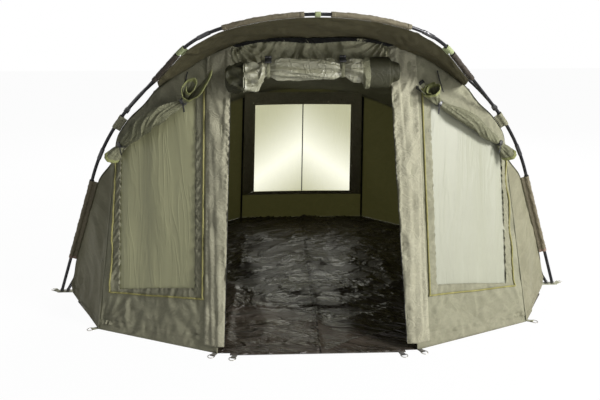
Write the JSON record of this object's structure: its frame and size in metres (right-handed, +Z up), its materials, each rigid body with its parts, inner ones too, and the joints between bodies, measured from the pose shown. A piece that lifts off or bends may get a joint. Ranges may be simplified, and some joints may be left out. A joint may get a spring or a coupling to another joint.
{
  "type": "bivvy tent",
  "caption": "Domed fishing shelter on hinged pole hoops, with a peak hood, clear side windows with rolled flaps, a rolled-up door and a groundsheet.",
  "frame": {"origin": "on the ground, midway between the feet of the main hoop", "axes": "+X runs to the right foot, +Y runs from the door into the shelter, +Z points up"},
  "size_m": [3.1986, 2.5907, 1.6139],
  "materials": {
    "olive_cloth": "coated woven nylon",
    "front_cloth": "coated woven nylon",
    "jamb_cloth": "light woven nylon",
    "peak_cloth": "coated woven nylon",
    "sleeve_cloth": "heavy woven nylon",
    "window_film": "clear flexible film",
    "groundsheet": "glossy coated sheet",
    "pole_metal": "black anodised tube",
    "fitting_plastic": "black moulded plastic",
    "ring_steel": "bright steel wire",
    "webbing": "ribbed webbing"
  },
  "bodies": {
    "base": {"foot_strap_left": "webbing", "foot_strap_right": "webbing", "groundsheet": "groundsheet", "rear_wall": "olive_cloth", "rear_side_wall_left": "olive_cloth", "rear_side_wall_right": "olive_cloth", "rear_window_film": "window_film"},
    "rear_frame": {"rear_pole_left": "pole_metal", "rear_pole_right": "pole_metal", "rear_pole_crown": "pole_metal", "rear_tip_left": "fitting_plastic", "rear_tip_right": "fitting_plastic", "rear_sleeve": "sleeve_cloth", "canopy": "olive_cloth"},
    "front_frame": {"main_pole_left": "pole_metal", "main_pole_right": "pole_metal", "main_pole_crown": "pole_metal", "main_tip_left": "fitting_plastic", "main_tip_right": "fitting_plastic", "peak_bracket_left": "fitting_plastic", "peak_bracket_right": "fitting_plastic", "low_sleeve_left": "sleeve_cloth", "low_sleeve_right": "sleeve_cloth", "mid_sleeve_left": "sleeve_cloth", "mid_sleeve_right": "sleeve_cloth", "side_wall_left": "olive_cloth", "side_wall_right": "olive_cloth", "window_wall_left": "front_cloth", "window_wall_right": "front_cloth", "window_film_left": "window_film", "window_film_right": "window_film", "window_flap_left": "front_cloth", "window_flap_right": "front_cloth", "door_jamb_left": "jamb_cloth", "door_jamb_right": "jamb_cloth", "door_header": "front_cloth", "door_roll": "front_cloth", "door_toggle_left": "fitting_plastic", "door_toggle_right": "fitting_plastic", "peak_panel": "peak_cloth"},
    "peak_frame": {"peak_pole_left": "pole_metal", "peak_pole_right": "pole_metal", "peak_pole_crown": "pole_metal", "peak_eye_left": "fitting_plastic", "peak_eye_right": "fitting_plastic", "peak_side_sleeve_left": "sleeve_cloth", "peak_side_sleeve_right": "sleeve_cloth", "peak_top_sleeve_left": "sleeve_cloth", "peak_top_sleeve_right": "sleeve_cloth", "peak_centre_strap": "webbing"},
    "foot_ring_l": {"foot_ring_left": "ring_steel"},
    "foot_ring_r": {"foot_ring_right": "ring_steel"},
    "side_ring_l": {"side_ring_left": "ring_steel"},
    "side_ring_r": {"side_ring_right": "ring_steel"},
    "door_ring_l": {"door_ring_left": "ring_steel"},
    "door_ring_r": {"door_ring_right": "ring_steel"},
    "rear_ring_l": {"rear_ring_left": "ring_steel"},
    "rear_ring_r": {"rear_ring_right": "ring_steel"},
    "sheet_ring_l": {"sheet_ring_left": "ring_steel"},
    "sheet_ring_r": {"sheet_ring_right": "ring_steel"}
  },
  "joints": [
    {"name": "rear_fold", "type": "hinge", "parent": "base", "child": "rear_frame", "pos_m": [0, 0, 0.01183], "axis": [1, 0, 0], "range_deg": [-36, 0], "deforming": ["rear_wall", "rear_side_wall_left", "rear_side_wall_right", "rear_window_film"]},
    {"name": "front_fold", "type": "hinge", "parent": "rear_frame", "child": "front_frame", "pos_m": [0, 0, 0.01183], "axis": [1, 0, 0], "range_deg": [-50, 0], "deforming": ["canopy"]},
    {"name": "peak_fold", "type": "hinge", "parent": "front_frame", "child": "peak_frame", "pos_m": [0, -0.30808, 1.14], "axis": [1, 0, 0], "range_deg": [-30, 0], "deforming": ["peak_panel"]},
    {"name": "foot_ring_swing_l", "type": "hinge", "parent": "base", "child": "foot_ring_l", "pos_m": [-1.57357, 0.01721, 0.0037], "axis": [0.5736, 0.8191, 0], "range_deg": [0, 95]},
    {"name": "foot_ring_swing_r", "type": "hinge", "parent": "base", "child": "foot_ring_r", "pos_m": [1.57357, 0.01721, 0.0037], "axis": [0.5736, -0.8191, 0], "range_deg": [0, 95]},
    {"name": "side_ring_swing_l", "type": "hinge", "parent": "front_frame", "child": "side_ring_l", "pos_m": [-1.18974, -0.54845, 0.0037], "axis": [-0.4969, 0.8678, 0], "range_deg": [0, 95]},
    {"name": "side_ring_swing_r", "type": "hinge", "parent": "front_frame", "child": "side_ring_r", "pos_m": [1.18974, -0.54845, 0.0037], "axis": [-0.4969, -0.8678, 0], "range_deg": [0, 95]},
    {"name": "door_ring_swing_l", "type": "hinge", "parent": "front_frame", "child": "door_ring_l", "pos_m": [-0.51856, -0.87086, 0.0037], "axis": [-0.9098, 0.4151, 0], "range_deg": [0, 95]},
    {"name": "door_ring_swing_r", "type": "hinge", "parent": "front_frame", "child": "door_ring_r", "pos_m": [0.51856, -0.87086, 0.0037], "axis": [-0.9098, -0.4151, 0], "range_deg": [0, 95]},
    {"name": "rear_ring_swing_l", "type": "hinge", "parent": "base", "child": "rear_ring_l", "pos_m": [-0.55535, 1.63967, 0.0037], "axis": [0.6943, 0.7197, 0], "range_deg": [0, 95]},
    {"name": "rear_ring_swing_r", "type": "hinge", "parent": "base", "child": "rear_ring_r", "pos_m": [0.55535, 1.63967, 0.0037], "axis": [0.6943, -0.7197, 0], "range_deg": [0, 95]},
    {"name": "sheet_ring_swing_l", "type": "hinge", "parent": "base", "child": "sheet_ring_l", "pos_m": [-0.41526, -0.89898, 0.0037], "axis": [-0.9659, 0.2588, 0], "range_deg": [0, 95]},
    {"name": "sheet_ring_swing_r", "type": "hinge", "parent": "base", "child": "sheet_ring_r", "pos_m": [0.41526, -0.89898, 0.0037], "axis": [-0.9659, -0.2588, 0], "range_deg": [0, 95]}
  ]
}
